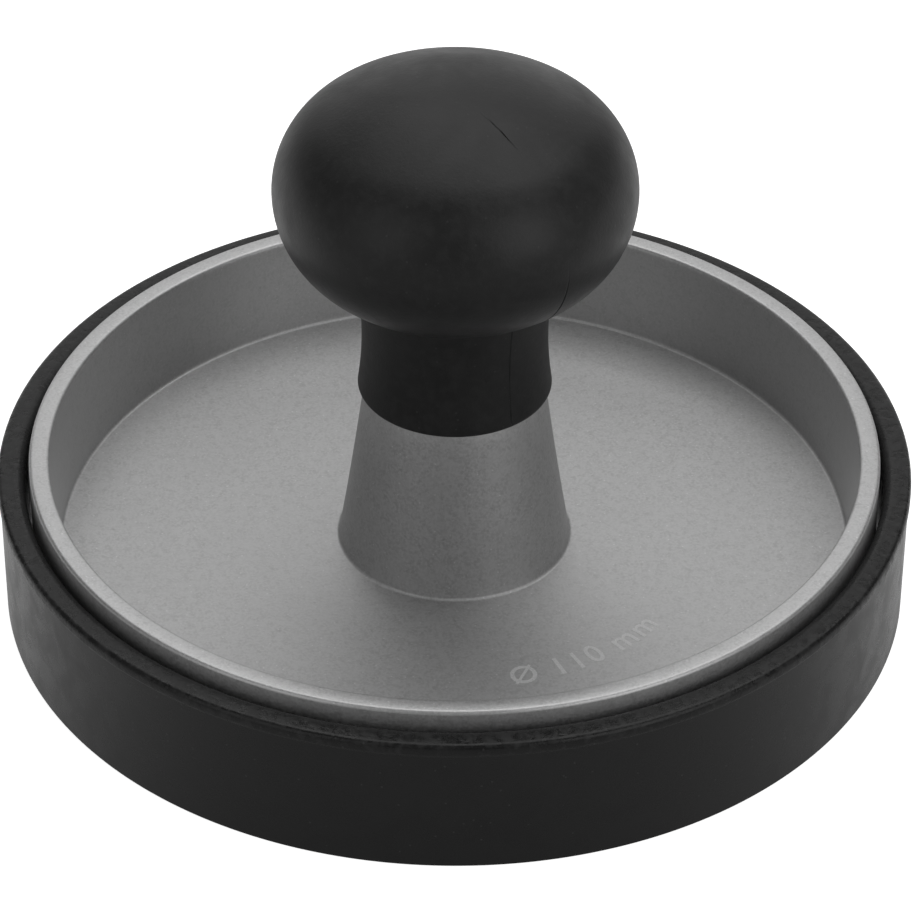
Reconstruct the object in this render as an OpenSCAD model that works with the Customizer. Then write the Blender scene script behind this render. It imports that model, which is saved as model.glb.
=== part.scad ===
// Patty press: a loose forming ring, and a plunger made of a cast press plate with a
// hollow stem, topped by a moulded knob that one countersunk screw holds from below.
// The origin is the centre of the ring's foot, on the surface that the press stands on.

/* [Forming ring] */
// Height of the ring
ring_h = 19; // [17:0.1:20]
// Inside diameter of the ring
ring_bore_d = 111.2; // [110.8:0.1:111.6]
// Outside diameter over the lip at the top
ring_lip_d = 118.2; // [117.8:0.1:119]
// Outside diameter of the wall just below the lip
ring_neck_d = 117.8; // [116.6:0.1:118]
// Outside diameter of the wall at the foot
ring_foot_d = 117.8; // [116.6:0.1:118]
// Height of the lip, with the slope under it
lip_h = 1.7; // [1.6:0.1:3]
// Radius of the rounded lead-in at the top of the bore
lead_in_r = 1.3; // [0.8:0.1:1.5]

/* [Press plate] */
// Outside diameter of the plate, which is the patty's diameter
plate_d = 110; // [109:0.5:110.4]
// Height of the plate's rim
rim_z = 20.9; // [20:0.1:24]
// Thickness of the upstand at the rim
rim_t = 2.65; // [2:0.05:3]
// Height of the floor inside the upstand
floor_z = 6.6; // [6.4:0.1:8]
// Diameter of the floor inside the upstand
floor_d = 103.1; // [101:0.1:104]
// Number of ring-shaped grooves in the pressing face
groove_count = 6; // [3:1:6]
// Depth of the grooves
groove_depth = 1.2; // [0.6:0.1:2]

/* [Stem] */
// Height of the stem's top
stem_z = 30.4; // [29:0.1:31]
// Diameter of the stem at its top
stem_top_d = 23.2; // [22.6:0.1:23.6]
// Diameter of the stem at the floor
stem_base_d = 30.2; // [28:0.2:34]
// Radius of the stem's slightly hollow side
stem_side_r = 700; // [250:10:1000]

/* [Knob] */
// Height of the knob's top
knob_top_z = 74.4; // [73.6:0.1:75.4]
// Height of the knob's widest line
knob_mid_z = 59.7; // [59.2:0.1:60.2]
// Largest diameter of the knob
knob_d = 45.7; // [45:0.1:47]
// Radius of the knob's shoulder, above its widest line
shoulder_r = 12; // [11:0.1:12.5]
// Radius of the knob's underside, below its widest line
under_r = 13; // [12:0.1:14]
// Smallest diameter of the neck
neck_d = 23.75; // [23.6:0.05:24.2]
// Height of the neck's narrowest line
neck_z = 38.5; // [37.5:0.1:39.5]
// Radius of the neck's hollow side
neck_side_r = 52; // [45:1:60]
// Radius of the fillet between the neck and the knob's underside
neck_fillet_r = 2.6; // [2:0.1:3.5]

/* [Fixing screw] */
// Length of the screw over its head
screw_len = 35; // [32:1:37]
// Depth of the hexagon socket in the screw's head
socket_depth = 2.6; // [2:0.1:3]

/* [Hidden] */
$fn = 96;
beyond = 1;

// Ring
bore_r = ring_bore_d / 2;
lip_r = ring_lip_d / 2;
ring_neck_r = ring_neck_d / 2;
ring_foot_r = ring_foot_d / 2;
lip_edge_r = 0.7;
lip_side_h = 0.8;
foot_edge_r = 0.2;

// Press plate
plate_r = plate_d / 2;
rim_in_r = plate_r - rim_t;
floor_r = floor_d / 2;
rim_edge_r = 0.5;
face_edge_r = 0.9;
floor_fillet_r = 0.4;
stem_fillet_r = 0.4;
groove_first_r = 13.5;
groove_pitch = 6.6;
groove_top_w = 2.8;
groove_mouth_w = 4.4;
upstand_lean = atan((rim_in_r - floor_r) / (rim_z - floor_z));

// Stem, and the core that runs down it from its top
stem_foot = [stem_base_d / 2, floor_z];
stem_head = [stem_top_d / 2, stem_z];
stem_edge_r = 0.4;
stem_side_c = arc_centre(stem_foot, stem_head, stem_side_r);
stem_lean = atan((stem_foot[1] - stem_side_c[1]) / (stem_foot[0] - stem_side_c[0]));
core_head_r = 8.2;
core_foot_r = 7;
core_foot_z = 8;

// Countersunk screw, and the seat that it sits in
screw_r = 3;
screw_hole_r = 3.3;
head_r = 6;
head_z = 0.3;
head_land = 0.4;
seat_r = 6.25;
seat_apex_z = head_z + head_land + head_r;
socket_af = 4;
screw_tip_z = head_z + screw_len;
tip_chamfer = 0.6;

// Knob
knob_r = knob_d / 2;
cap_h = knob_top_z - knob_mid_z;
dome_r = (knob_r * knob_r + cap_h * cap_h - 2 * knob_r * shoulder_r) / (2 * (cap_h - shoulder_r));
dome_c = [0, knob_top_z - dome_r];
shoulder_c = [knob_r - shoulder_r, knob_mid_z];
under_c = [knob_r - under_r, knob_mid_z];
neck_side_c = [neck_d / 2 + neck_side_r, neck_z];
neck_fillet_c = circles_meet(under_c, under_r + neck_fillet_r,
    neck_side_c, neck_side_r - neck_fillet_r);
neck_fillet_top = toward(neck_fillet_c, under_c, neck_fillet_r);
neck_fillet_foot = toward(neck_fillet_c, neck_side_c, -neck_fillet_r);
skirt_edge_r = 0.5;
skirt_edge_c = [neck_side_at(stem_z + skirt_edge_r) - skirt_edge_r, stem_z + skirt_edge_r];

// Knob's spigot, the brass insert in it and the two seals
spigot_z = stem_z - 10;
spigot_gap = 0.12;
insert_af = 9;
insert_top_z = 38.4;
insert_groove_r = 4;
insert_groove_w = 2;
insert_end = 2;
thread_gap = 0.02;
seal_gap = 0.03;
stem_seal_z = stem_z - 3.6;
stem_seal_r = 0.8;
stem_seal_c = [core_r(stem_seal_z) - stem_seal_r - seal_gap, stem_seal_z];
screw_seal_r = 0.55;
screw_seal_at = 4.6;
screw_seal_c = [screw_seal_at, seat_apex_z - screw_seal_at]
    + (screw_seal_r + seal_gap) * [cos(45), sin(45)];

// Point at distance d from p, on the line towards q
function toward(p, q, d) = p + d * (q - p) / norm(q - p);

// Points of an arc about c, from angle a to angle b
function arc(c, r, a, b, steps = 6) =
    [for (i = [0:steps]) let (t = a + (b - a) * i / steps) c + r * [cos(t), sin(t)]];

// Centre of an arc of radius r through p and q, on the right of the line from p to q
function arc_centre(p, q, r) =
    let (u = (q - p) / norm(q - p), half = norm(q - p) / 2)
    (p + q) / 2 + sqrt(r * r - half * half) * [u[1], -u[0]];

// The point where two circles cross, on the right of the line from the first to the second
function circles_meet(c1, r1, c2, r2) =
    let (d = norm(c2 - c1), u = (c2 - c1) / d, along = (d * d + r1 * r1 - r2 * r2) / (2 * d))
    c1 + along * u - sqrt(r1 * r1 - along * along) * [-u[1], u[0]];

// Radius of the core at height z
function core_r(z) =
    core_foot_r + (core_head_r - core_foot_r) * (z - core_foot_z) / (stem_z - core_foot_z);

// Radius of the knob's neck at height z
function neck_side_at(z) =
    neck_side_c[0] - sqrt(neck_side_r * neck_side_r - (z - neck_z) * (z - neck_z));

// The open ring that the meat is pressed in
module forming_ring() {
    color([0.11, 0.11, 0.12])
        rotate_extrude()
            polygon(concat(
                arc([bore_r + foot_edge_r, foot_edge_r], foot_edge_r, 180, 270),
                arc([ring_foot_r - foot_edge_r, foot_edge_r], foot_edge_r, 270, 360),
                [[ring_neck_r, ring_h - lip_h], [lip_r, ring_h - lip_edge_r - lip_side_h]],
                arc([lip_r - lip_edge_r, ring_h - lip_edge_r], lip_edge_r, 0, 90),
                arc([bore_r + lead_in_r, ring_h - lead_in_r], lead_in_r, 90, 180)));
}

// Outline of half of the casting, from the screw's seat round the rim to the stem's core
module plate_outline() {
    floor_c = [floor_r + floor_fillet_r * (tan(upstand_lean) - 1 / cos(upstand_lean)),
        floor_z + floor_fillet_r];
    stem_c = [stem_foot[0] + stem_fillet_r * (1 / cos(stem_lean) - tan(stem_lean)),
        floor_z + stem_fillet_r];
    side_start = atan2(stem_foot[1] + stem_fillet_r - stem_side_c[1],
        stem_foot[0] - stem_side_c[0]);
    side_end = atan2(stem_z - stem_edge_r - stem_side_c[1], stem_head[0] - stem_side_c[0]);
    polygon(concat(
        [[seat_r, seat_apex_z - seat_r], [seat_r, 0]],
        arc([plate_r - face_edge_r, face_edge_r], face_edge_r, 270, 360),
        arc([plate_r - rim_edge_r, rim_z - rim_edge_r], rim_edge_r, 0, 90),
        arc([rim_in_r + rim_edge_r, rim_z - rim_edge_r], rim_edge_r, 90, 180),
        arc(floor_c, floor_fillet_r, 360 - upstand_lean, 270),
        arc(stem_c, stem_fillet_r, 270, 180 + stem_lean),
        arc(stem_side_c, stem_side_r, side_start, side_end, 8),
        arc([stem_head[0] - stem_edge_r, stem_z - stem_edge_r], stem_edge_r, 0, 90),
        [[core_head_r, stem_z], [core_foot_r, core_foot_z], [screw_hole_r, core_foot_z],
            [screw_hole_r, seat_apex_z - screw_hole_r]]));
}

// Outline of one ring-shaped groove of the pressing face
module groove_outline(r) {
    polygon([[r - groove_mouth_w / 2 - beyond, -beyond], [r - groove_mouth_w / 2, 0],
        [r - groove_top_w / 2, groove_depth], [r + groove_top_w / 2, groove_depth],
        [r + groove_mouth_w / 2, 0], [r + groove_mouth_w / 2 + beyond, -beyond]]);
}

// The casting: grooved pressing face, floor, upstand and hollow stem
module press_plate() {
    color([0.62, 0.62, 0.63])
        rotate_extrude()
            difference() {
                plate_outline();
                for (i = [0:groove_count - 1])
                    groove_outline(groove_first_r + i * groove_pitch);
                translate(screw_seal_c)
                    circle(screw_seal_r + seal_gap);
            }
}

// Half outline of the knob's head: dome, shoulder and underside, each a tangent arc
module head_outline() {
    intersection() {
        translate(dome_c)
            circle(dome_r);
        polygon([dome_c, dome_c + [0, 2 * dome_r], toward(dome_c, shoulder_c, 2 * dome_r)]);
    }
    intersection() {
        translate(shoulder_c)
            circle(shoulder_r);
        translate([0, knob_mid_z])
            square([knob_r + beyond, shoulder_r + beyond]);
    }
    intersection() {
        translate(under_c)
            circle(under_r);
        translate([0, knob_mid_z - under_r - beyond])
            square([knob_r + beyond, under_r + beyond]);
    }
}

// Half outline of the hollow-sided neck and its fillet
module neck_outline() {
    difference() {
        translate([0, stem_z])
            square([neck_fillet_foot[0] + beyond, neck_fillet_foot[1] - stem_z]);
        translate(neck_side_c)
            circle(neck_side_r);
        difference() {
            translate([skirt_edge_c[0], stem_z - beyond])
                square([skirt_edge_r + beyond, skirt_edge_r + beyond]);
            translate(skirt_edge_c)
                circle(skirt_edge_r);
        }
    }
    difference() {
        polygon([[0, neck_fillet_foot[1]], neck_fillet_foot, neck_fillet_c, neck_fillet_top,
            [0, knob_mid_z]]);
        translate(neck_fillet_c)
            circle(neck_fillet_r);
    }
}

// Half outline of the spigot that locates the knob in the stem, with its seal's groove
module spigot_outline() {
    difference() {
        polygon([[0, spigot_z], [core_r(spigot_z) - spigot_gap, spigot_z],
            [core_r(stem_z) - spigot_gap, stem_z], [0, stem_z]]);
        translate([stem_seal_c[0] - stem_seal_r - seal_gap, stem_seal_z - stem_seal_r - seal_gap])
            square([3 * stem_seal_r, 2 * (stem_seal_r + seal_gap)]);
    }
}

// Brass insert's outside: a hexagon bar with a turned groove that keys it in the knob
module insert_body() {
    difference() {
        translate([0, 0, spigot_z])
            cylinder(h = insert_top_z - spigot_z, r = insert_af / sqrt(3), $fn = 6);
        translate([0, 0, insert_top_z - insert_end - insert_groove_w])
            difference() {
                cylinder(h = insert_groove_w, r = insert_af);
                translate([0, 0, -beyond])
                    cylinder(h = insert_groove_w + 2 * beyond, r = insert_groove_r);
            }
    }
}

// The moulded knob, with the insert moulded in
module knob() {
    color([0.10, 0.10, 0.11])
        difference() {
            rotate_extrude() {
                head_outline();
                neck_outline();
                spigot_outline();
            }
            insert_body();
        }
}

// The brass insert, with its blind thread
module knob_insert() {
    color([0.80, 0.65, 0.30])
        difference() {
            insert_body();
            translate([0, 0, spigot_z - beyond])
                cylinder(h = insert_top_z - insert_end - spigot_z + beyond, r = screw_r + thread_gap);
        }
}

// The countersunk socket screw that holds the knob
module handle_screw() {
    color([0.72, 0.72, 0.74])
        difference() {
            rotate_extrude()
                polygon([[0, head_z], [head_r, head_z], [head_r, head_z + head_land],
                    [screw_r, seat_apex_z - screw_r], [screw_r, screw_tip_z - tip_chamfer],
                    [screw_r - tip_chamfer, screw_tip_z], [0, screw_tip_z]]);
            translate([0, 0, head_z - beyond])
                cylinder(h = socket_depth + beyond, r = socket_af / sqrt(3), $fn = 6);
        }
}

// O-ring of section radius r, with the middle of its section at c
module o_ring(c, r) {
    color([0.15, 0.15, 0.15])
        rotate_extrude()
            translate(c)
                circle(r);
}

module screw_seal() {
    o_ring(screw_seal_c, screw_seal_r);
}

module stem_seal() {
    o_ring(stem_seal_c, stem_seal_r);
}

forming_ring();
press_plate();
knob();
knob_insert();
handle_screw();
screw_seal();
stem_seal();
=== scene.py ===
"""Patty press: turned outlines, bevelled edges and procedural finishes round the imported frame."""
import math

import bmesh
import bpy
from mathutils import Matrix, Vector, noise


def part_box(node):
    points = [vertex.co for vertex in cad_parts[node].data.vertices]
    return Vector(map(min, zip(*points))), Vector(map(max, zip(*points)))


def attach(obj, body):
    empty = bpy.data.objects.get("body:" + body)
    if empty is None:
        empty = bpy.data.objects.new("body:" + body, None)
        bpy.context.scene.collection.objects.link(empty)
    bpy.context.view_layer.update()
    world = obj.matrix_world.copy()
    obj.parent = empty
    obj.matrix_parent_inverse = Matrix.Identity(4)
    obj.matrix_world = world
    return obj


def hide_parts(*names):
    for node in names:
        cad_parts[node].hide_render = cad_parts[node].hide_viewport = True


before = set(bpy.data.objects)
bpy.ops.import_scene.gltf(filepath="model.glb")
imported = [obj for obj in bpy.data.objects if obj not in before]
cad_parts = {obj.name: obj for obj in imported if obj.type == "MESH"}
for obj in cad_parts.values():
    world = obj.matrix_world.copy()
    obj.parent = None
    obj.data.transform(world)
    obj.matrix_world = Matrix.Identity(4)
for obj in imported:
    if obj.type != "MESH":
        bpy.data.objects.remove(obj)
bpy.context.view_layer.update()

MM = 0.001
TURN_STEPS = 288
MERGE_WITHIN = 0.002 * MM
RIM_WITHIN = 0.004 * MM
SHARP_ANGLE = math.radians(35)

# ---------------------------------------------------------------- sizes, from the frame
ring_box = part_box("forming_ring")
plate_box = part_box("press_plate")
knob_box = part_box("knob")
screw_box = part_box("handle_screw")

RING_H = ring_box[1].z
LIP_R = ring_box[1].x
PLATE_R = plate_box[1].x
STEM_Z = plate_box[1].z
KNOB_R = knob_box[1].x
KNOB_TOP_Z = knob_box[1].z
SPIGOT_Z = knob_box[0].z

# Forming ring
BORE_R = 55.6 * MM
RING_NECK_R = 58.9 * MM
RING_FOOT_R = 58.9 * MM
LIP_H = 1.7 * MM
LIP_SIDE_H = 1.5 * MM
LIP_EDGE_R = 0.7 * MM
LEAD_IN_R = 1.3 * MM
FOOT_EDGE_R = 0.2 * MM
LIP_STEP_R = 0.1 * MM
LIP_UNDER_R = 0.08 * MM

# Press plate
RIM_Z = 20.9 * MM
RIM_IN_R = 52.35 * MM
FLOOR_R = 51.55 * MM
FLOOR_Z = 6.6 * MM
RIM_EDGE_R = 0.5 * MM
FACE_EDGE_R = 0.9 * MM
FLOOR_FILLET_R = 0.4 * MM
GROOVE_COUNT = 6
GROOVE_FIRST_R = 13.5 * MM
GROOVE_PITCH = 6.6 * MM
GROOVE_TOP_W = 2.8 * MM
GROOVE_MOUTH_W = 4.4 * MM
GROOVE_DEPTH = 1.2 * MM
GROOVE_EDGE_R = 0.3 * MM

# Stem and its core
STEM_TOP_R = 11.6 * MM
STEM_BASE_R = 15.1 * MM
STEM_SIDE_R = 700 * MM
STEM_FILLET_R = 0.4 * MM
STEM_EDGE_R = 0.4 * MM
CORE_HEAD_R = 8.2 * MM
CORE_FOOT_R = 7.0 * MM
CORE_FOOT_Z = 8.0 * MM
SCREW_HOLE_R = 3.3 * MM
SEAT_R = 6.25 * MM
SEAT_APEX_Z = 6.7 * MM

# Knob
KNOB_MID_Z = 59.7 * MM
SHOULDER_R = 12 * MM
UNDER_R = 13 * MM
NECK_R = 11.875 * MM
NECK_Z = 38.5 * MM
NECK_SIDE_R = 52 * MM
NECK_FILLET_R = 2.6 * MM
SKIRT_EDGE_R = 0.5 * MM
INSERT_R = 5.2 * MM
INSERT_TOP_Z = 38.4 * MM
SPIGOT_HEAD_R = 8.0 * MM
SPIGOT_FOOT_R = 7.5 * MM
SEAL_GROOVE_R = 6.38 * MM
SEAL_Z = 26.8 * MM
SEAL_HALF_H = 0.83 * MM

# Parting line: rubbed away above RUBBED_FROM_Z, apart from a short stretch that is spared
PARTING_TURN = math.radians(39.5)
PARTING_OFFSET = 0.9 * MM
PARTING_HALF_W = 0.13 * MM
PARTING_DEPTH = 0.2 * MM
PARTING_EVEN = 0.8
PARTING_UNEVEN = 0.9
PARTING_LEAST = 0.02
UNEVEN_SCALE = 160
RUBBED_FROM_Z = 56 * MM
RUBBED_SOFT_H = 4 * MM
SPARED_Z = 72.9 * MM
SPARED_HALF_H = 1.1 * MM
SPARED_SHARE = 0.4

# Screw
SCREW_R = 3 * MM
HEAD_R = 6 * MM
HEAD_Z = screw_box[0].z
HEAD_LAND = 0.4 * MM
HEAD_EDGE_R = 0.15 * MM
LAND_EDGE_R = 0.1 * MM
SCREW_TIP_Z = screw_box[1].z
TIP_CHAMFER = 0.6 * MM
SOCKET_R = 4 * MM / math.sqrt(3)
SOCKET_RIM_R = 2.7 * MM
SOCKET_DEPTH = 2.6 * MM
SOCKET_CHAMFER_H = 0.2 * MM
SOCKET_POINT_H = 0.5 * MM
SCREW_STEPS = 96
THREAD_Z = 14 * MM
THREAD_ROOT_R = 2.55 * MM
THREAD_PITCH = 1 * MM
THREAD_STEPS = 36
THREAD_HALF_W = 0.44 * THREAD_PITCH
# Corners of the ridge's section: out, in thread depths, and up, in half widths
THREAD_SECTION = ((1, 0.12), (1, -0.12), (-0.3, -1), (-0.3, 1))

# Size mark on the plate's floor
MARK_H = 4.8 * MM
MARK_BOLD = 0.05 * MM
MARK_SPACING = 1.12
MARK_R = 33 * MM
MARK_TURN = math.radians(-57)
MARK_SUNK = 0.01 * MM
MARK_PROUD = 0.02 * MM


# ---------------------------------------------------------------- shaping
class Outline:
    """Half a section in the XZ plane, drawn from point to point, then turned about Z."""

    def __init__(self, r, z):
        self.bm = bmesh.new()
        self.first = self.tip = self.bm.verts.new((r, 0, z))

    def line(self, r, z):
        point = self.bm.verts.new((r, 0, z))
        self.bm.edges.new((self.tip, point))
        self.tip = point
        return self

    def arc(self, centre, degrees, steps):
        """Turns clockwise, seen from the front, for positive degrees."""
        swept = bmesh.ops.spin(self.bm, geom=[self.tip], cent=(centre[0], 0, centre[1]),
                               axis=(0, 1, 0), dvec=(0, 0, 0), angle=math.radians(degrees),
                               steps=steps, use_merge=False, use_duplicate=False)
        self.tip = next(g for g in swept["geom_last"] if isinstance(g, bmesh.types.BMVert))
        return self

    def close(self):
        self.bm.edges.new((self.tip, self.first))
        return self

    def turn(self, steps=TURN_STEPS):
        bm = self.bm
        bmesh.ops.spin(bm, geom=bm.verts[:] + bm.edges[:], cent=(0, 0, 0), axis=(0, 0, 1),
                       dvec=(0, 0, 0), angle=2 * math.pi, steps=steps, use_merge=True,
                       use_duplicate=False)
        bmesh.ops.remove_doubles(bm, verts=bm.verts[:], dist=MERGE_WITHIN)
        bmesh.ops.recalc_face_normals(bm, faces=bm.faces[:])
        return bm

    def bow(self, r, z, radius, steps):
        """A shallow arc of that radius to a point, with its centre on the right of the way there."""
        start = Vector((self.tip.co.x, self.tip.co.z))
        way = Vector((r, z)) - start
        half = way.length / 2
        right = Vector((way.y, -way.x)).normalized()
        centre = start + way / 2 + right * math.sqrt(radius ** 2 - half ** 2)
        return self.arc(centre, math.degrees(2 * math.asin(half / radius)), steps)


def circles_meet(c1, r1, c2, r2):
    """The point where two circles cross, on the right of the line from the first to the second."""
    way = c2 - c1
    along = (way.length_squared + r1 ** 2 - r2 ** 2) / (2 * way.length)
    ahead = way.normalized()
    return c1 + ahead * along + Vector((ahead.y, -ahead.x)) * math.sqrt(r1 ** 2 - along ** 2)


def direction(a, b):
    """Angle of the way from a to b, in degrees, anticlockwise from +X."""
    return math.degrees(math.atan2(b.y - a.y, b.x - a.x))


def round_rim(bm, r, z, radius, segments=4):
    """Bevels the circular edge at radius r and height z."""
    def on_rim(v):
        return abs(math.hypot(v.co.x, v.co.y) - r) < RIM_WITHIN and abs(v.co.z - z) < RIM_WITHIN
    rim = [e for e in bm.edges if on_rim(e.verts[0]) and on_rim(e.verts[1])]
    bmesh.ops.bevel(bm, geom=rim, offset=radius, offset_type="OFFSET", segments=segments,
                    profile=0.5, affect="EDGES", clamp_overlap=True, material=-1)


def finish_piece(bm, name, body, node, material):
    """Makes the mesh an object that rides on its body and stands for its node."""
    bmesh.ops.remove_doubles(bm, verts=bm.verts[:], dist=MERGE_WITHIN)
    bmesh.ops.recalc_face_normals(bm, faces=bm.faces[:])
    for face in bm.faces:
        face.smooth = True
    mesh = bpy.data.meshes.new(name)
    bm.to_mesh(mesh)
    bm.free()
    mesh.set_sharp_from_angle(angle=SHARP_ANGLE)
    mesh.materials.append(material)
    piece = bpy.data.objects.new(name, mesh)
    bpy.context.scene.collection.objects.link(piece)
    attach(piece, body)
    if node:
        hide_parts(node)


# ---------------------------------------------------------------- pieces
def make_ring(material):
    """The ring that holds the patty's edge: plain wall, stepped lip and a rounded lead-in."""
    outline = Outline(BORE_R, 0)
    outline.line(RING_FOOT_R, 0)
    outline.line(RING_NECK_R, RING_H - LIP_H)
    outline.line(LIP_R, RING_H - LIP_SIDE_H)
    outline.line(LIP_R, RING_H)
    outline.line(BORE_R, RING_H).close()
    bm = outline.turn()
    round_rim(bm, BORE_R, 0, FOOT_EDGE_R)
    round_rim(bm, RING_FOOT_R, 0, FOOT_EDGE_R)
    round_rim(bm, RING_NECK_R, RING_H - LIP_H, LIP_STEP_R, 2)
    round_rim(bm, LIP_R, RING_H - LIP_SIDE_H, LIP_UNDER_R, 2)
    round_rim(bm, LIP_R, RING_H, LIP_EDGE_R, 6)
    round_rim(bm, BORE_R, RING_H, LEAD_IN_R, 8)
    finish_piece(bm, "ring_moulding", "ring", "forming_ring", material)


def make_plate(material):
    """Grooved pressing face, rim, floor and hollow stem, turned in one casting."""
    outline = Outline(SEAT_R, 0)
    for i in range(GROOVE_COUNT):
        r = GROOVE_FIRST_R + i * GROOVE_PITCH
        outline.line(r - GROOVE_MOUTH_W / 2, 0)
        outline.line(r - GROOVE_TOP_W / 2, GROOVE_DEPTH)
        outline.line(r + GROOVE_TOP_W / 2, GROOVE_DEPTH)
        outline.line(r + GROOVE_MOUTH_W / 2, 0)
    outline.line(PLATE_R, 0)
    outline.line(PLATE_R, RIM_Z)
    outline.line(RIM_IN_R, RIM_Z)
    outline.line(FLOOR_R, FLOOR_Z)
    outline.line(STEM_BASE_R, FLOOR_Z)
    outline.bow(STEM_TOP_R, STEM_Z, STEM_SIDE_R, 12)
    outline.line(CORE_HEAD_R, STEM_Z)
    outline.line(CORE_FOOT_R, CORE_FOOT_Z)
    outline.line(SCREW_HOLE_R, CORE_FOOT_Z)
    outline.line(SCREW_HOLE_R, SEAT_APEX_Z - SCREW_HOLE_R)
    outline.line(SEAT_R, SEAT_APEX_Z - SEAT_R).close()
    bm = outline.turn()
    for i in range(GROOVE_COUNT):
        r = GROOVE_FIRST_R + i * GROOVE_PITCH
        for side in (-1, 1):
            round_rim(bm, r + side * GROOVE_MOUTH_W / 2, 0, GROOVE_EDGE_R, 3)
            round_rim(bm, r + side * GROOVE_TOP_W / 2, GROOVE_DEPTH, GROOVE_EDGE_R, 3)
    round_rim(bm, PLATE_R, 0, FACE_EDGE_R)
    round_rim(bm, PLATE_R, RIM_Z, RIM_EDGE_R)
    round_rim(bm, RIM_IN_R, RIM_Z, RIM_EDGE_R)
    round_rim(bm, FLOOR_R, FLOOR_Z, FLOOR_FILLET_R, 6)
    round_rim(bm, STEM_BASE_R, FLOOR_Z, STEM_FILLET_R, 6)
    round_rim(bm, STEM_TOP_R, STEM_Z, STEM_EDGE_R)
    finish_piece(bm, "plate_casting", "plunger", "press_plate", material)


def cut_parting_line(bm):
    """A fine uneven groove where the mould's halves met, rubbed away where a palm grips."""
    across = Vector((math.cos(PARTING_TURN), math.sin(PARTING_TURN), 0))
    for step in (-1, 1, 0):
        everything = bm.verts[:] + bm.edges[:] + bm.faces[:]
        middle = bmesh.ops.bisect_plane(
            bm, geom=everything, dist=0.001 * MM, plane_no=across,
            plane_co=across * (step * PARTING_HALF_W - PARTING_OFFSET))["geom_cut"]
    bm.normal_update()
    for v in middle:
        if not isinstance(v, bmesh.types.BMVert):
            continue
        in_pocket = v.co.z < INSERT_TOP_Z + MM and v.co.xy.length < INSERT_R + MM
        if v.co.z > STEM_Z + SKIRT_EDGE_R and not in_pocket:
            rub_wear_and_painted_sheen = min(1, max(0, (v.co.z - RUBBED_FROM_Z) / RUBBED_SOFT_H))
            spared = max(0, 1 - ((v.co.z - SPARED_Z) / SPARED_HALF_H) ** 2)
            if v.co.y >= 0:
                spared = 0
            left = 1 - rub_wear_and_painted_sheen * (1 - SPARED_SHARE * spared)
            unevenness = PARTING_EVEN + PARTING_UNEVEN * noise.noise(v.co * UNEVEN_SCALE)
            v.co -= v.normal * PARTING_DEPTH * max(PARTING_LEAST, unevenness * left)


def make_knob(material):
    """Ball, waisted neck and the spigot that sits in the stem, with the mould's parting line."""
    cap_h = KNOB_TOP_Z - KNOB_MID_Z
    dome_r = (KNOB_R ** 2 + cap_h ** 2 - 2 * KNOB_R * SHOULDER_R) / (2 * (cap_h - SHOULDER_R))
    dome = Vector((0, KNOB_TOP_Z - dome_r))
    shoulder = Vector((KNOB_R - SHOULDER_R, KNOB_MID_Z))
    under = Vector((KNOB_R - UNDER_R, KNOB_MID_Z))
    neck = Vector((NECK_R + NECK_SIDE_R, NECK_Z))
    fillet = circles_meet(under, UNDER_R + NECK_FILLET_R, neck, NECK_SIDE_R - NECK_FILLET_R)
    dome_end = direction(dome, shoulder)
    under_end = direction(under, fillet)
    fillet_end = direction(neck, fillet)
    skirt_end = 180 + math.degrees(math.asin((NECK_Z - STEM_Z) / NECK_SIDE_R))

    outline = Outline(0, KNOB_TOP_Z)
    outline.arc(dome, 90 - dome_end, 18)
    outline.arc(shoulder, dome_end, 20)
    outline.arc(under, -under_end, 26)
    outline.arc(fillet, under_end + 180 - fillet_end, 12)
    outline.arc(neck, fillet_end - skirt_end, 16)
    skirt_r = outline.tip.co.x
    outline.line(SPIGOT_HEAD_R, STEM_Z)
    outline.line(SPIGOT_HEAD_R, SEAL_Z + SEAL_HALF_H)
    outline.line(SEAL_GROOVE_R, SEAL_Z + SEAL_HALF_H)
    outline.line(SEAL_GROOVE_R, SEAL_Z - SEAL_HALF_H)
    outline.line(SPIGOT_FOOT_R, SEAL_Z - SEAL_HALF_H)
    outline.line(SPIGOT_FOOT_R, SPIGOT_Z)
    outline.line(INSERT_R, SPIGOT_Z)
    outline.line(INSERT_R, INSERT_TOP_Z)
    outline.line(0, INSERT_TOP_Z)
    bm = outline.turn()
    round_rim(bm, skirt_r, STEM_Z, SKIRT_EDGE_R)
    cut_parting_line(bm)
    finish_piece(bm, "knob_moulding", "plunger", "knob", material)


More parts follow.
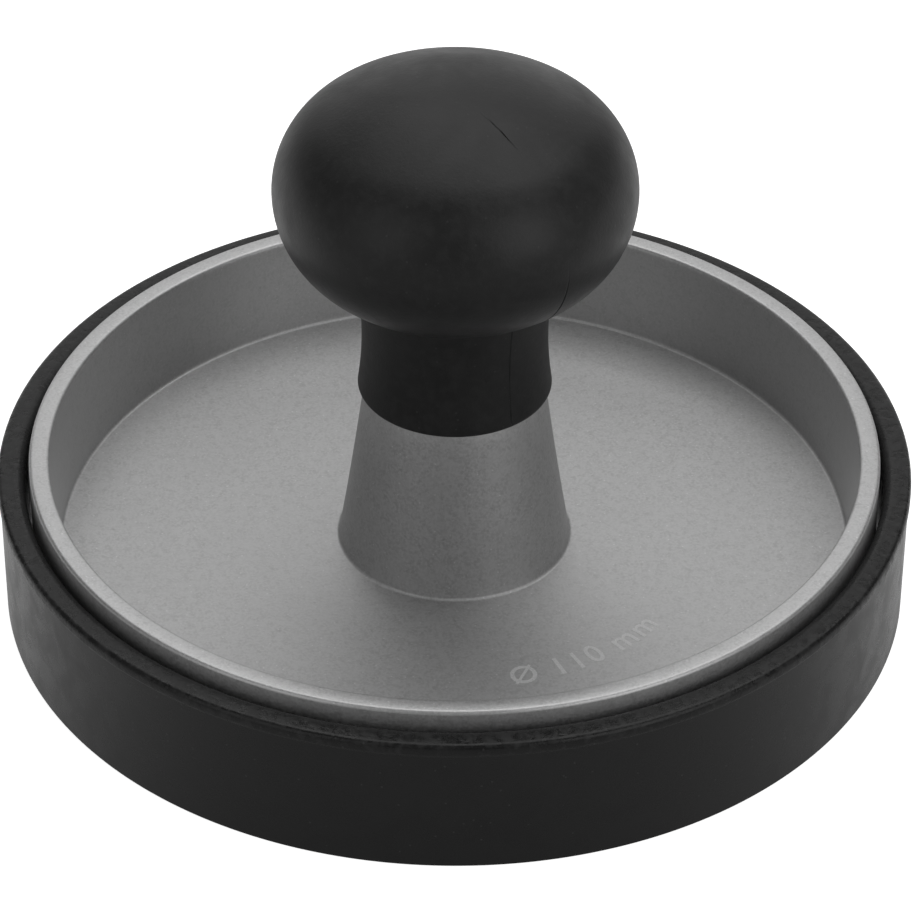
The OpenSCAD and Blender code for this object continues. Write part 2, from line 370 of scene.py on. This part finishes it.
def make_screw(material):
    """Countersunk head with a hexagon socket, a shank with a rolled thread and a chamfered tip."""
    outline = Outline(SOCKET_RIM_R, HEAD_Z)
    outline.line(HEAD_R, HEAD_Z)
    outline.line(HEAD_R, HEAD_Z + HEAD_LAND)
    outline.line(SCREW_R, HEAD_Z + HEAD_LAND + HEAD_R - SCREW_R)
    outline.line(SCREW_R, THREAD_Z)
    outline.line(THREAD_ROOT_R, THREAD_Z + SCREW_R - THREAD_ROOT_R)
    outline.line(THREAD_ROOT_R, SCREW_TIP_Z - TIP_CHAMFER + SCREW_R - THREAD_ROOT_R)
    outline.line(SCREW_R - TIP_CHAMFER, SCREW_TIP_Z)
    outline.line(0, SCREW_TIP_Z)
    bm = outline.turn(SCREW_STEPS)
    round_rim(bm, HEAD_R, HEAD_Z, HEAD_EDGE_R, 3)
    round_rim(bm, HEAD_R, HEAD_Z + HEAD_LAND, LAND_EDGE_R, 2)

    rim = [e for e in bm.edges if e.is_boundary]
    corners = bmesh.ops.create_circle(bm, segments=6, radius=SOCKET_R)["verts"]
    sides = list({e for v in corners for e in v.link_edges})
    bmesh.ops.subdivide_edges(bm, edges=sides, cuts=SCREW_STEPS // 6 - 1)
    hexagon = [e for e in bm.edges if e.is_wire]
    bmesh.ops.translate(bm, vec=(0, 0, HEAD_Z + SOCKET_CHAMFER_H),
                        verts=list({v for e in hexagon for v in e.verts}))
    bmesh.ops.bridge_loops(bm, edges=rim + hexagon)
    walls = bmesh.ops.extrude_edge_only(bm, edges=hexagon)["geom"]
    foot = [g for g in walls if isinstance(g, bmesh.types.BMVert)]
    bmesh.ops.translate(bm, vec=(0, 0, SOCKET_DEPTH - SOCKET_CHAMFER_H), verts=foot)
    foot_edges = [e for e in bm.edges if e.is_boundary]
    point = bmesh.ops.extrude_edge_only(bm, edges=foot_edges)["geom"]
    bmesh.ops.pointmerge(bm, verts=[g for g in point if isinstance(g, bmesh.types.BMVert)],
                         merge_co=(0, 0, HEAD_Z + SOCKET_DEPTH + SOCKET_POINT_H))

    add_thread(bm)
    finish_piece(bm, "socket_screw", "plunger", "handle_screw", material)


def add_thread(bm):
    """One ridge of the thread, wound up the shank from THREAD_Z to the tip."""
    ridge = bmesh.ops.create_circle(bm, cap_ends=True, segments=4, radius=1)["verts"]
    depth = SCREW_R - THREAD_ROOT_R
    for v, (out, up) in zip(ridge, THREAD_SECTION):
        v.co = (THREAD_ROOT_R + depth * out, 0, THREAD_Z + THREAD_PITCH + THREAD_HALF_W * up)
    turns = int((SCREW_TIP_Z - TIP_CHAMFER - THREAD_Z) / THREAD_PITCH) - 1
    faces = list({f for v in ridge for f in v.link_faces})
    bmesh.ops.spin(bm, geom=faces, cent=(0, 0, 0), axis=(0, 0, 1),
                   dvec=(0, 0, THREAD_PITCH / THREAD_STEPS), angle=2 * math.pi * turns,
                   steps=THREAD_STEPS * turns, use_merge=False, use_duplicate=False)


def make_size_mark(material):
    """The plate's size, in thin raised letters that follow the floor round."""
    lettering = bpy.data.curves.new("size_mark", "FONT")
    lettering.body = "\u00d8 110 mm"
    lettering.size = MARK_H
    lettering.offset = MARK_BOLD
    lettering.align_x = "CENTER"
    lettering.space_character = MARK_SPACING
    lettering.resolution_u = 6
    flat = bpy.data.objects.new("size_mark_flat", lettering)
    bm = bmesh.new()
    bm.from_mesh(flat.to_mesh())
    flat.to_mesh_clear()
    bpy.data.objects.remove(flat)
    bpy.data.curves.remove(lettering)

    bmesh.ops.remove_doubles(bm, verts=bm.verts[:], dist=MERGE_WITHIN)
    bmesh.ops.recalc_face_normals(bm, faces=bm.faces[:])
    raised = bmesh.ops.extrude_face_region(bm, geom=bm.faces[:])["geom"]
    top = [g for g in raised if isinstance(g, bmesh.types.BMVert)]
    bmesh.ops.translate(bm, vec=(0, 0, MARK_SUNK + MARK_PROUD), verts=top)
    for v in bm.verts:
        turned = MARK_TURN + v.co.x / MARK_R
        r = MARK_R - v.co.y
        v.co = (r * math.cos(turned), r * math.sin(turned), FLOOR_Z - MARK_SUNK + v.co.z)
    finish_piece(bm, "size_mark", "plunger", None, material)


# ---------------------------------------------------------------- finishes
class Finish:
    """Short ways to add nodes to a material or to a group, and to join them."""

    def __init__(self, tree):
        self.tree = tree

    def add(self, kind, sockets=None, **options):
        made = self.tree.nodes.new("ShaderNode" + kind)
        for name, value in options.items():
            setattr(made, name, value)
        for name, value in (sockets or {}).items():
            self.join(value, made.inputs[name])
        return made

    def join(self, value, socket):
        if isinstance(value, bpy.types.NodeSocket):
            self.tree.links.new(value, socket)
        else:
            socket.default_value = value

    def math(self, operation, *values, clamp=False):
        made = self.add("Math", operation=operation, use_clamp=clamp)
        for socket, value in zip(made.inputs, values):
            self.join(value, socket)
        return made.outputs[0]

    def spread(self, value, low, high, to_low=0.0, to_high=1.0):
        """Maps low..high to to_low..to_high, with soft ends."""
        return self.add("MapRange", {"Value": value, "From Min": low, "From Max": high,
                                     "To Min": to_low, "To Max": to_high},
                        interpolation_type="SMOOTHSTEP").outputs["Result"]

    def mix(self, factor, a, b):
        """Blends colour a into colour b by the factor."""
        made = self.add("Mix", data_type="RGBA")
        self.join(factor, made.inputs["Factor"])
        for name, value in (("A", a), ("B", b)):
            socket = next(i for i in made.inputs if i.name == name and i.type == "RGBA")
            self.join(value if isinstance(value, bpy.types.NodeSocket) else (*value, 1), socket)
        return next(o for o in made.outputs if o.type == "RGBA")

    def use(self, group, **values):
        made = self.tree.nodes.new("ShaderNodeGroup")
        made.node_tree = group
        for name, value in values.items():
            self.join(value, made.inputs[name.replace("_", " ").capitalize()])
        return made.outputs


def new_group(name, inputs, outputs):
    """A group with number inputs (name to usual value) and number outputs."""
    group = bpy.data.node_groups.new(name, "ShaderNodeTree")
    for socket, value in inputs.items():
        made = group.interface.new_socket(name=socket, in_out="INPUT",
                                          socket_type="NodeSocketFloat")
        made.default_value = value
    for socket in outputs:
        group.interface.new_socket(name=socket, in_out="OUTPUT", socket_type="NodeSocketFloat")
    given = group.nodes.new("NodeGroupInput").outputs
    result = group.nodes.new("NodeGroupOutput").inputs
    return group, Finish(group), given, result


def grain_group():
    """Fine even grain, with a few deeper pits, at a size in millimetres."""
    group, f, given, result = new_group("fine_grain", {"Size": 0.3, "Pits": 0.3},
                                        ("Grain",))
    place = f.add("TexCoord").outputs["Object"]
    scale = f.math("DIVIDE", 1000, given["Size"])
    noise_value = f.add("TexNoise", {"Vector": place, "Scale": scale, "Detail": 3,
                                     "Roughness": 0.6}).outputs[0]
    cells = f.add("TexVoronoi", {"Vector": place, "Scale": f.math("MULTIPLY", scale, 0.45)},
                  feature="F1").outputs["Distance"]
    pits = f.math("MULTIPLY", f.spread(cells, 0.32, 0.12), given["Pits"])
    f.join(f.math("SUBTRACT", noise_value, pits), result["Grain"])
    return group


def patches_group():
    """Slow uneven tone, as handling and wiping leave it."""
    group, f, given, result = new_group("uneven_tone", {"Size": 12, "Contrast": 1}, ("Tone",))
    place = f.add("TexCoord").outputs["Object"]
    scale = f.math("DIVIDE", 1000, given["Size"])
    broad = f.add("TexNoise", {"Vector": place, "Scale": scale, "Detail": 4,
                               "Roughness": 0.55, "Distortion": 0.4}).outputs[0]
    centred = f.math("MULTIPLY", f.math("SUBTRACT", broad, 0.5), given["Contrast"])
    f.join(f.math("ADD", centred, 0.5, clamp=True), result["Tone"])
    return group


def scuffs_group():
    """Short fine scratches that run in two directions, thicker in some patches than others."""
    group, f, given, result = new_group("light_scuffs", {"Length": 6, "Width": 0.12, "Amount": 0.5},
                                        ("Scuff",))
    place = f.add("TexCoord").outputs["Object"]
    along = f.math("DIVIDE", 1000, given["Length"])
    across = f.math("DIVIDE", 1000, given["Width"])
    marks = []
    for turned in (0.6, 2.3):
        angled = f.add("Mapping", {"Vector": place, "Rotation": (0.3, turned, turned)})
        stretch = f.add("CombineXYZ", {"X": along, "Y": across, "Z": across}).outputs[0]
        drawn = f.add("VectorMath", {0: angled.outputs[0], 1: stretch}, operation="MULTIPLY")
        lines = f.add("TexNoise", {"Vector": drawn.outputs[0], "Scale": 1, "Detail": 1}).outputs[0]
        marks.append(f.spread(lines, 0.70, 0.78))
    both = f.math("MAXIMUM", *marks)
    where = f.add("TexNoise", {"Vector": place, "Scale": 90, "Detail": 2}).outputs[0]
    shown = f.math("MULTIPLY", both, f.spread(where, 0.45, 0.65))
    f.join(f.math("MULTIPLY", shown, given["Amount"]), result["Scuff"])
    return group


def dust_group():
    """Sparse tiny pale specks, each in a random place, some of them missing."""
    group, f, given, result = new_group("dust_specks", {"Spacing": 1.5, "Amount": 0.5}, ("Dust",))
    place = f.add("TexCoord").outputs["Object"]
    cells = f.add("TexVoronoi", {"Vector": place, "Scale": f.math("DIVIDE", 1000, given["Spacing"])})
    specks = f.spread(cells.outputs["Distance"], 0.16, 0.08)
    chance = f.add("SeparateXYZ", {"Vector": cells.outputs["Color"]}).outputs["X"]
    kept = f.math("LESS_THAN", chance, f.math("MULTIPLY", given["Amount"], 0.5))
    f.join(f.math("MULTIPLY", specks, kept), result["Dust"])
    return group


def band_group():
    """A soft-edged band round the axis: 1 between two radii and two heights, in millimetres."""
    group, f, given, result = new_group(
        "band_round_axis", {"Inner": 0, "Outer": 1, "Bottom": -1, "Top": 1, "Soft": 0.2},
        ("Band", "Radius"))
    place = f.add("TexCoord").outputs["Object"]
    split = f.add("SeparateXYZ", {"Vector": place}).outputs
    squares = f.math("ADD", f.math("POWER", split["X"], 2), f.math("POWER", split["Y"], 2))
    r = f.math("MULTIPLY", f.math("SQRT", squares), 1000)
    z = f.math("MULTIPLY", split["Z"], 1000)
    inside = 1
    for value, low, high in ((r, "Inner", "Outer"), (z, "Bottom", "Top")):
        above = f.math("DIVIDE", f.math("SUBTRACT", value, given[low]), given["Soft"], clamp=True)
        below = f.math("DIVIDE", f.math("SUBTRACT", given[high], value), given["Soft"], clamp=True)
        inside = f.math("MULTIPLY", inside, f.math("MULTIPLY", above, below))
    f.join(inside, result["Band"])
    f.join(r, result["Radius"])
    return group


def new_finish(name):
    """A material with a bare shader: the material, its node helper and the shader's inputs."""
    material = bpy.data.materials.new(name)
    material.use_nodes = True
    material.node_tree.nodes.clear()
    f = Finish(material.node_tree)
    shader = f.add("BsdfPrincipled")
    f.add("OutputMaterial", {"Surface": shader.outputs[0]})
    return material, f, shader.inputs


def raise_surface(f, shader, height, distance, strength=1.0):
    bump = f.add("Bump", {"Height": height, "Distance": distance, "Strength": strength})
    f.join(bump.outputs[0], shader["Normal"])


def grey(value):
    return (value, value, value)


# How pale and how rough each main finish is
CASTING = 0.56
CASTING_ROUGH = 0.56
RING_BLACK = 0.011
RING_ROUGH = 0.28
RING_SHINE = 0.3
KNOB_BLACK = 0.011
KNOB_ROUGH = 0.45
KNOB_SHINE = 0.4


def cast_aluminium(groups):
    """Blasted casting, smoother on its wall and rim, with polished lands underneath, and painted
    shade darkening its inner wall.
    """
    material, f, shader = new_finish("blasted_casting")
    grain = f.use(groups["grain"], size=0.36, pits=0.25)["Grain"]
    tone = f.use(groups["tone"], size=11, contrast=1.0)["Tone"]
    cloud = f.use(groups["tone"], size=1.3, contrast=1.6)["Tone"]
    scuff = f.use(groups["scuffs"], length=5, width=0.10, amount=0.4)["Scuff"]
    flakes = f.use(groups["dust"], spacing=0.9, amount=0.9)["Dust"]
    pores = f.use(groups["dust"], spacing=1.5, amount=0.6)["Dust"]
    face = f.use(groups["band"], inner=0, outer=60, bottom=-1, top=0.3, soft=0.2)["Band"]
    wall = f.use(groups["band"], inner=50.6, outer=54, bottom=6.8, top=20.6, soft=0.5)["Band"]
    rim = f.use(groups["band"], inner=51.5, outer=60, bottom=20.2, top=22, soft=0.3)["Band"]
    speckled = f.mix(f.spread(grain, 0.35, 0.65), grey(CASTING * 0.84), grey(CASTING * 1.12))
    clouded = f.mix(f.spread(cloud, 0.2, 0.8, 0.0, 0.6), speckled, grey(CASTING * 1.12))
    uneven = f.mix(f.math("MULTIPLY", tone, 0.5), clouded, grey(CASTING * 0.93))
    marked = f.mix(scuff, uneven, grey(CASTING * 1.2))
    flecks_and_painted_wall_shade = f.mix(f.math("MULTIPLY", flakes, 0.45), marked, grey(0.85))
    # Painted shade: the inner wall band is darkened in its colour, standing in for the shade the
    # wall sits in
    flecks_and_painted_wall_shade = f.mix(f.math("MULTIPLY", wall, 0.4), flecks_and_painted_wall_shade, grey(CASTING * 0.62))
    f.join(f.mix(f.math("MULTIPLY", pores, 0.25), flecks_and_painted_wall_shade, grey(0.3)), shader["Base Color"])
    rough = f.spread(grain, 0.3, 0.7, CASTING_ROUGH - 0.04, CASTING_ROUGH + 0.04)
    for band, smoother in ((face, 0.2), (wall, 0.21), (rim, 0.1)):
        rough = f.math("SUBTRACT", rough, f.math("MULTIPLY", band, smoother))
    f.join(f.math("SUBTRACT", rough, f.math("MULTIPLY", scuff, 0.1)), shader["Roughness"])
    shader["Metallic"].default_value = 1.0
    raise_surface(f, shader, grain, 0.03 * MM, 0.6)
    return material


def ring_plastic(groups):
    """Black moulding: satin wall, blotchy scuffed lip, and a lead-in painted paler as a painted
    reflection.
    """
    material, f, shader = new_finish("ring_black")
    grain = f.use(groups["grain"], size=0.22, pits=0.2)
    tone = f.use(groups["tone"], size=4, contrast=1.5)["Tone"]
    blotch = f.use(groups["tone"], size=1.2, contrast=1.8)["Tone"]
    scuff = f.use(groups["scuffs"], length=3, width=0.12, amount=0.8)["Scuff"]
    dust = f.use(groups["dust"], spacing=1.1, amount=0.6)["Dust"]
    lip = f.use(groups["band"], inner=55, outer=60, bottom=17.4, top=19.9, soft=0.3)["Band"]
    # Painted reflection: this band marks the rounded lead-in, which is painted paler for the light
    # its face catches
    rub_wear_and_painted_sheen = f.use(groups["band"], inner=55.4, outer=57.1, bottom=16.5, top=19.9, soft=0.3)["Band"]
    black = f.mix(tone, grey(RING_BLACK * 0.85), grey(RING_BLACK * 1.25))
    stained = f.mix(f.math("MULTIPLY", lip, f.spread(blotch, 0.5, 0.75)), black,
                    grey(RING_BLACK * 2))
    # Painted reflection laid into the colour on the lead-in band
    with_painted_lead_in_sheen = f.mix(f.math("MULTIPLY", rub_wear_and_painted_sheen, tone), stained, grey(RING_BLACK * 2))
    marked = f.mix(f.math("MULTIPLY", scuff, f.math("ADD", 0.25, lip)), with_painted_lead_in_sheen,
                   grey(RING_BLACK * 4))
    f.join(f.mix(f.math("MULTIPLY", dust, 0.12), marked, grey(0.2)), shader["Base Color"])
    rough = f.math("ADD", f.spread(tone, 0.2, 0.8, RING_ROUGH - 0.05, RING_ROUGH + 0.05),
                   f.math("MULTIPLY", lip, f.spread(blotch, 0.3, 0.75, -0.04, 0.14)))
    f.join(f.math("ADD", rough, f.math("MULTIPLY", scuff, 0.2)), shader["Roughness"])
    shader["Specular IOR Level"].default_value = RING_SHINE
    dents = f.math("MULTIPLY", f.math("MULTIPLY", lip, blotch), 5)
    raise_surface(f, shader, f.math("ADD", grain["Grain"], dents), 0.015 * MM, 0.7)
    return material


def knob_plastic(groups):
    """Satin black moulding with a faint mottle, finger marks, dust and hair-fine scratches."""
    material, f, shader = new_finish("knob_black")
    grain = f.use(groups["grain"], size=0.45, pits=0.15)
    tone = f.use(groups["tone"], size=8, contrast=1.3)["Tone"]
    mottle = f.use(groups["tone"], size=1.4, contrast=1.5)["Tone"]
    scuff = f.use(groups["scuffs"], length=4, width=0.08, amount=0.5)["Scuff"]
    dust = f.use(groups["dust"], spacing=1.2, amount=0.7)["Dust"]
    black = f.mix(tone, grey(KNOB_BLACK * 0.85), grey(KNOB_BLACK * 1.2))
    mottled = f.mix(f.spread(mottle, 0.35, 0.8), black, grey(KNOB_BLACK * 1.5))
    marked = f.mix(f.math("MULTIPLY", scuff, 0.6), mottled, grey(KNOB_BLACK * 4))
    f.join(f.mix(f.math("MULTIPLY", dust, 0.1), marked, grey(0.15)), shader["Base Color"])
    rough = f.math("ADD", f.spread(tone, 0.2, 0.8, KNOB_ROUGH - 0.05, KNOB_ROUGH + 0.05),
                   f.spread(mottle, 0.2, 0.8, -0.02, 0.03))
    f.join(f.math("ADD", rough, f.math("MULTIPLY", scuff, 0.2)), shader["Roughness"])
    shader["Specular IOR Level"].default_value = KNOB_SHINE
    raise_surface(f, shader, f.math("ADD", grain["Grain"], f.math("MULTIPLY", mottle, 0.5)),
                  0.03 * MM, 0.7)
    return material


def mark_finish(groups):
    """Marked letters: a paler, duller skin on the casting's metal."""
    material, f, shader = new_finish("lasered_mark")
    grain = f.use(groups["grain"], size=0.2, pits=0.3)
    f.join(f.mix(f.spread(grain["Grain"], 0.3, 0.7), grey(0.72), grey(0.86)), shader["Base Color"])
    f.join(f.spread(grain["Grain"], 0.3, 0.7, 0.7, 0.8), shader["Roughness"])
    shader["Metallic"].default_value = 1.0
    raise_surface(f, shader, grain["Grain"], 0.01 * MM, 0.4)
    return material


def insert_brass(groups):
    """Turned brass bar with a slightly dulled skin."""
    material, f, shader = new_finish("turned_brass")
    grain = f.use(groups["grain"], size=0.15, pits=0.2)
    tone = f.use(groups["tone"], size=3, contrast=1.2)["Tone"]
    f.join(f.mix(tone, (0.55, 0.36, 0.12), (0.72, 0.52, 0.22)), shader["Base Color"])
    f.join(f.spread(tone, 0.2, 0.8, 0.24, 0.42), shader["Roughness"])
    shader["Metallic"].default_value = 1.0
    raise_surface(f, shader, grain["Grain"], 0.006 * MM, 0.5)
    return material


def screw_steel(groups):
    """Stainless screw: forged head with fine turning rings."""
    material, f, shader = new_finish("bright_steel")
    grain = f.use(groups["grain"], size=0.18, pits=0.3)
    tone = f.use(groups["tone"], size=2.5, contrast=1.2)["Tone"]
    head = f.use(groups["band"], inner=0, outer=7, bottom=0, top=0.6, soft=0.1)
    rings = f.math("SINE", f.math("MULTIPLY", head["Radius"], 42))
    turned = f.math("MULTIPLY", f.math("MULTIPLY", rings, 0.12), head["Band"])
    f.join(f.mix(tone, grey(0.48), grey(0.62)), shader["Base Color"])
    f.join(f.spread(tone, 0.2, 0.8, 0.22, 0.36), shader["Roughness"])
    shader["Metallic"].default_value = 1.0
    raise_surface(f, shader, f.math("ADD", grain["Grain"], turned), 0.006 * MM, 0.6)
    return material


def seal_rubber(groups):
    """Matt black O-ring rubber with a bloom of lighter dust."""
    material, f, shader = new_finish("soft_rubber")
    grain = f.use(groups["grain"], size=0.12, pits=0.4)
    tone = f.use(groups["tone"], size=1.6, contrast=1.4)["Tone"]
    f.join(f.mix(tone, grey(0.012), grey(0.03)), shader["Base Color"])
    f.join(f.spread(tone, 0.2, 0.8, 0.55, 0.72), shader["Roughness"])
    raise_surface(f, shader, grain["Grain"], 0.01 * MM, 0.6)
    return material


# ---------------------------------------------------------------- the press
groups = {"grain": grain_group(), "tone": patches_group(), "scuffs": scuffs_group(),
          "dust": dust_group(), "band": band_group()}
make_ring(ring_plastic(groups))
make_plate(cast_aluminium(groups))
make_knob(knob_plastic(groups))
make_screw(screw_steel(groups))
make_size_mark(mark_finish(groups))

rubber = seal_rubber(groups)
kept_nodes = {"knob_insert": insert_brass(groups), "screw_seal": rubber, "stem_seal": rubber}
for node_name, material in kept_nodes.items():
    for node_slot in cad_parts[node_name].material_slots:
        node_slot.material = material


# ---------------------------------------------------------------- studio
FLOOR_HALF = 3.0
FLOOR_DROP = 0.02 * MM
FLOOR_SEEN = 0.9
FLOOR_TO_OBJECT = 0.30
FLOOR_GLOW = 0.85
SWEEP_FRONT, SWEEP_BACK = 0.2, 0.7
SWEEP_SOFT = 80 * MM
AMBIENT = 0.15
STUDIO_CENTRE = Vector((0, 0, 25 * MM))
CAMERA_TARGET = Vector((0.25, 0.04, 18.49)) * MM
CAMERA_DISTANCE = 551.5 * MM
CAMERA_ELEVATION = math.radians(36.15)
CAMERA_LENS = 167.5
CAMERA_ROLL = math.radians(0.2)
PANEL_DISTANCE = 0.9


def make_floor():
    """Pale floor: near white to the camera, dimmer to what it lights, brighter at the back."""
    bm = bmesh.new()
    bmesh.ops.create_grid(bm, x_segments=1, y_segments=1, size=FLOOR_HALF)
    bmesh.ops.translate(bm, vec=(0, 0, -FLOOR_DROP), verts=bm.verts[:])
    mesh = bpy.data.meshes.new("studio_floor")
    bm.to_mesh(mesh)
    bm.free()
    floor = bpy.data.objects.new("studio_floor", mesh)
    bpy.context.scene.collection.objects.link(floor)

    material, f, shader = new_finish("pale_floor")
    seen = f.add("LightPath").outputs["Is Camera Ray"]
    f.join(f.mix(seen, grey(FLOOR_TO_OBJECT), grey(FLOOR_SEEN)), shader["Base Color"])
    shader["Roughness"].default_value = 0.9
    shader["Specular IOR Level"].default_value = 0.0
    shader["Emission Color"].default_value = (1, 1, 1, 1)
    depth = f.add("SeparateXYZ", {"Vector": f.add("TexCoord").outputs["Object"]}).outputs["Y"]
    sweep = f.spread(depth, -SWEEP_SOFT, SWEEP_SOFT, SWEEP_FRONT, SWEEP_BACK)
    unseen = f.math("SUBTRACT", 1, seen)
    glow = f.math("ADD", f.math("MULTIPLY", seen, FLOOR_GLOW), f.math("MULTIPLY", unseen, sweep))
    f.join(glow, shader["Emission Strength"])
    mesh.materials.append(material)


def make_world():
    """White to the camera and a faint even light on the press."""
    world = bpy.data.worlds.new("studio")
    world.use_nodes = True
    world.node_tree.nodes.clear()
    f = Finish(world.node_tree)
    seen = f.add("LightPath").outputs["Is Camera Ray"]
    strength = f.math("ADD", f.math("MULTIPLY", seen, 1 - AMBIENT), AMBIENT)
    sky = f.add("Background", {"Color": (1, 1, 1, 1), "Strength": strength})
    f.add("OutputWorld", {"Surface": sky.outputs[0]})
    bpy.context.scene.world = world


def make_softbox(name, compass, elevation, width, height, brightness):
    """A panel that faces the press; compass is anticlockwise from +X, and +Y is the back."""
    lamp = bpy.data.lights.new(name, "AREA")
    lamp.shape = "RECTANGLE"
    lamp.size, lamp.size_y = width, height
    lamp.energy = brightness * math.pi * width * height
    panel = bpy.data.objects.new(name, lamp)
    a, e = math.radians(compass), math.radians(elevation)
    way = Vector((math.cos(a) * math.cos(e), math.sin(a) * math.cos(e), math.sin(e)))
    panel.location = STUDIO_CENTRE + way * PANEL_DISTANCE
    panel.rotation_euler = way.to_track_quat("Z", "Y").to_euler()
    panel.visible_camera = False
    bpy.context.scene.collection.objects.link(panel)


def make_camera():
    """Looks down on the press from the front."""
    camera = bpy.data.objects.new("camera", bpy.data.cameras.new("camera"))
    camera.data.sensor_width = 36
    camera.data.lens = CAMERA_LENS
    camera.data.clip_start = 0.01
    back = Vector((0, -math.cos(CAMERA_ELEVATION), math.sin(CAMERA_ELEVATION)))
    camera.location = CAMERA_TARGET + back * CAMERA_DISTANCE
    aim = back.to_track_quat("Z", "Y").to_matrix() @ Matrix.Rotation(CAMERA_ROLL, 3, "Z")
    camera.rotation_euler = aim.to_euler()
    bpy.context.scene.collection.objects.link(camera)
    bpy.context.scene.camera = camera


make_floor()
make_world()
make_softbox("overhead", 70, 70, 1.1, 0.7, 1.4)
make_softbox("right_front", 315, 25, 0.6, 0.8, 1.2)
make_softbox("left_front", 225, 25, 0.6, 0.8, 0.6)
make_softbox("back", 90, 20, 1.2, 0.6, 0.6)
make_camera()
bpy.context.scene.view_settings.view_transform = "Standard"
